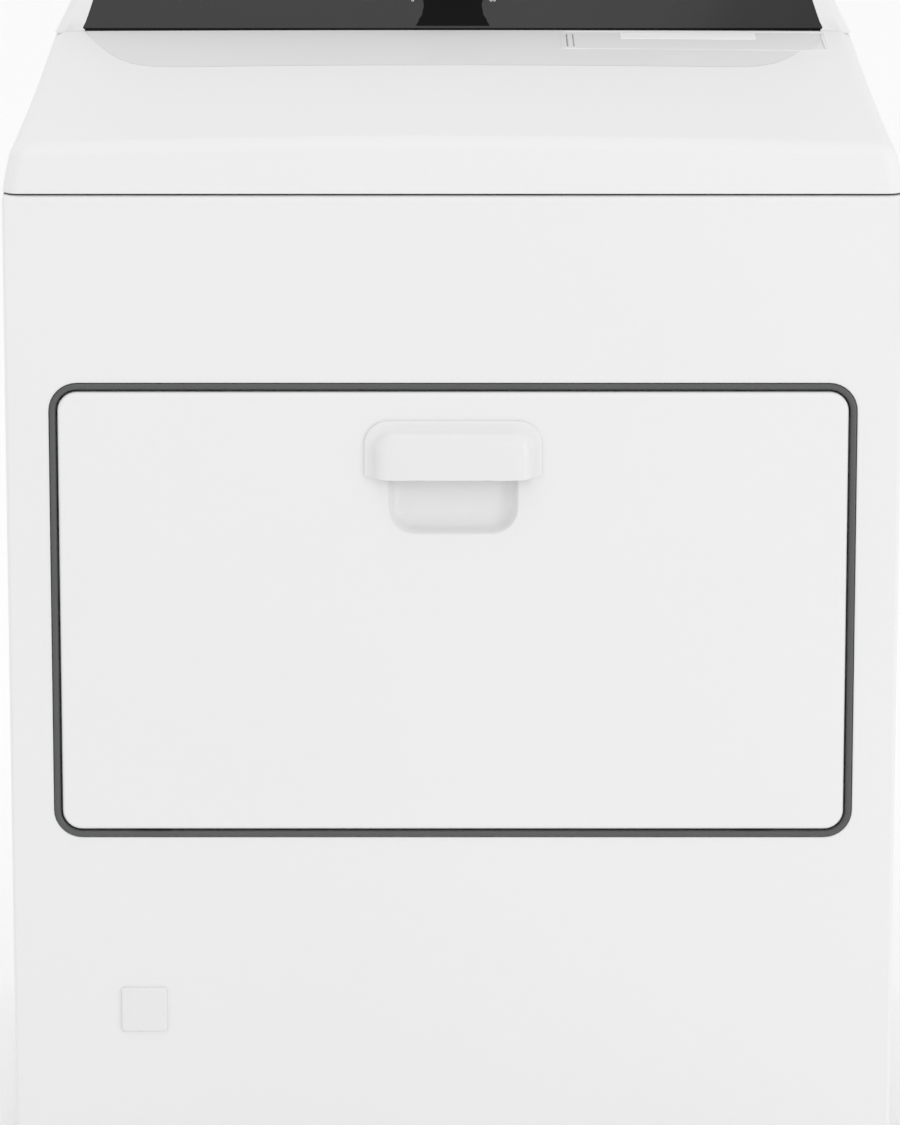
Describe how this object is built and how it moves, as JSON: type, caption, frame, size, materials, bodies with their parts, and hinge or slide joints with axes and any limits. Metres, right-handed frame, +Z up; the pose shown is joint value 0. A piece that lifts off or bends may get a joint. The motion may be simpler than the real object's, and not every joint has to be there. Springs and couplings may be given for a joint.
{
  "type": "clothes dryer",
  "caption": "Free-standing front-loading clothes dryer with a flush drop-down door, hooded handle, top lint screen and a sloping rear console with a central dial.",
  "frame": {"origin": "centre of the whole dryer's footprint, on the floor under its feet", "axes": "+Z up, -Y is the side with the door, +X is to the right as one faces the door"},
  "size_m": [0.7366, 0.704, 1.038],
  "materials": {
    "white_enamel": "smooth gloss white enamel",
    "white_plastic": "moulded white plastic, semi-gloss",
    "grey_trim": "satin dark grey",
    "dark_glass": "smoked gloss console glass, opaque",
    "satin_dial": "satin",
    "galvanised": "dull zinc-coated sheet",
    "drum_enamel": "powder-coated drum, light speckle",
    "cast_motor": "dark paint",
    "steel": "bare steel",
    "brass": "satin",
    "rubber": "matt black",
    "felt": "dense grey felt",
    "black_plastic": "black",
    "circuit_board": "green laminate"
  },
  "bodies": {
    "cabinet": {"base_pan": "galvanised", "side_panel_left": "white_enamel", "side_panel_right": "white_enamel", "rear_panel": "white_enamel", "front_panel": "white_enamel", "top_panel": "white_enamel", "access_plug": "white_plastic", "door_trim_ring": "grey_trim", "door_catch": "black_plastic", "door_switch": "white_plastic", "hinge_bracket_left": "steel", "hinge_bracket_right": "steel", "roller_shaft_left": "steel", "roller_shaft_right": "steel", "front_bulkhead": "galvanised", "rear_bulkhead": "galvanised", "front_drum_bearing": "white_plastic", "rear_felt_seal": "felt", "drum_belt": "rubber", "moisture_sensor": "steel", "motor": "cast_motor", "blower_housing": "black_plastic", "exhaust_duct": "galvanised", "lint_duct": "galvanised", "gas_valve": "cast_motor", "gas_inlet_pipe": "steel", "burner_tube": "brass", "burner_igniter": "steel", "burner_funnel": "galvanised", "heat_duct": "galvanised", "console_housing": "white_plastic", "control_board": "circuit_board", "console_glass": "dark_glass"},
    "door": {"door_outer_panel": "white_enamel", "door_inner_panel": "white_enamel", "door_handle": "white_plastic", "door_strike": "steel", "door_hinge_left": "steel", "door_hinge_right": "steel"},
    "drum": {"drum": "drum_enamel", "drum_baffle_1": "white_plastic", "drum_baffle_2": "white_plastic", "drum_baffle_3": "white_plastic"},
    "rotor": {"motor_shaft": "steel", "motor_pulley": "steel", "blower_wheel": "black_plastic"},
    "roller_left": {"drum_roller_left": "rubber"},
    "roller_right": {"drum_roller_right": "rubber"},
    "idler_arm": {"idler_arm": "steel"},
    "idler_wheel": {"idler_wheel": "black_plastic"},
    "lint_screen": {"lint_screen": "white_plastic"},
    "dial": {"control_dial": "satin_dial"},
    "power_button": {"power_button": "satin_dial"},
    "temperature_button": {"temperature_button": "satin_dial"},
    "start_button": {"start_button": "satin_dial"},
    "switch_plunger": {"door_switch_plunger": "black_plastic"},
    "foot_front_left": {"foot_front_left": "rubber"},
    "foot_front_right": {"foot_front_right": "rubber"},
    "foot_rear_left": {"foot_rear_left": "rubber"},
    "foot_rear_right": {"foot_rear_right": "rubber"}
  },
  "joints": [
    {"name": "door_hinge", "type": "hinge", "parent": "cabinet", "child": "door", "pos_m": [0, -0.3345, 0.342], "axis": [1, 0, 0], "range_deg": [0, 90]},
    {"name": "lint_screen_slide", "type": "slide", "parent": "cabinet", "child": "lint_screen", "axis": [0, -0.1961, 0.9806], "range_m": [0, 0.285]},
    {"name": "drum_spin", "type": "hinge", "parent": "cabinet", "child": "drum", "pos_m": [0, 0, 0.505], "axis": [0, 1, 0], "continuous": true},
    {"name": "rotor_spin", "type": "hinge", "parent": "cabinet", "child": "rotor", "pos_m": [0.215, 0, 0.095], "axis": [0, 1, 0], "continuous": true},
    {"name": "roller_left_spin", "type": "hinge", "parent": "cabinet", "child": "roller_left", "pos_m": [-0.24092, 0.164, 0.21789], "axis": [0, 1, 0], "continuous": true},
    {"name": "roller_right_spin", "type": "hinge", "parent": "cabinet", "child": "roller_right", "pos_m": [0.24092, 0.164, 0.21789], "axis": [0, 1, 0], "continuous": true},
    {"name": "idler_arm_swing", "type": "hinge", "parent": "cabinet", "child": "idler_arm", "pos_m": [0.088, 0.032, 0.052], "axis": [0, 1, 0], "range_deg": [0, 6]},
    {"name": "idler_wheel_spin", "type": "hinge", "parent": "idler_arm", "child": "idler_wheel", "pos_m": [0.14, 0.02, 0.102], "axis": [0, 1, 0], "continuous": true},
    {"name": "dial_turn", "type": "hinge", "parent": "cabinet", "child": "dial", "pos_m": [0, 0.269, 0.97816], "axis": [0, 0.866, -0.5], "continuous": true},
    {"name": "power_button_press", "type": "slide", "parent": "cabinet", "child": "power_button", "axis": [0, 0.866, -0.5], "range_m": [0, 0.0014], "stiffness_N_per_m": 600},
    {"name": "temperature_button_press", "type": "slide", "parent": "cabinet", "child": "temperature_button", "axis": [0, 0.866, -0.5], "range_m": [0, 0.0014], "stiffness_N_per_m": 600},
    {"name": "start_button_press", "type": "slide", "parent": "cabinet", "child": "start_button", "axis": [0, 0.866, -0.5], "range_m": [0, 0.0014], "stiffness_N_per_m": 600},
    {"name": "switch_plunger_press", "type": "slide", "parent": "cabinet", "child": "switch_plunger", "axis": [0, 1, 0], "range_m": [0, 0.0025], "stiffness_N_per_m": 400},
    {"name": "foot_front_left_level", "type": "slide", "parent": "cabinet", "child": "foot_front_left", "axis": [0, 0, -1], "range_m": [0, 0.012]},
    {"name": "foot_front_right_level", "type": "slide", "parent": "cabinet", "child": "foot_front_right", "axis": [0, 0, -1], "range_m": [0, 0.012]},
    {"name": "foot_rear_left_level", "type": "slide", "parent": "cabinet", "child": "foot_rear_left", "axis": [0, 0, -1], "range_m": [0, 0.012]},
    {"name": "foot_rear_right_level", "type": "slide", "parent": "cabinet", "child": "foot_rear_right", "axis": [0, 0, -1], "range_m": [0, 0.012]}
  ],
  "couplings": [
    {"joint": "rotor_spin", "follows": "drum_spin", "ratio": 26.391},
    {"joint": "roller_left_spin", "follows": "drum_spin", "ratio": -8.8421},
    {"joint": "roller_right_spin", "follows": "drum_spin", "ratio": -8.8421},
    {"joint": "idler_wheel_spin", "follows": "drum_spin", "ratio": -12.604}
  ]
}
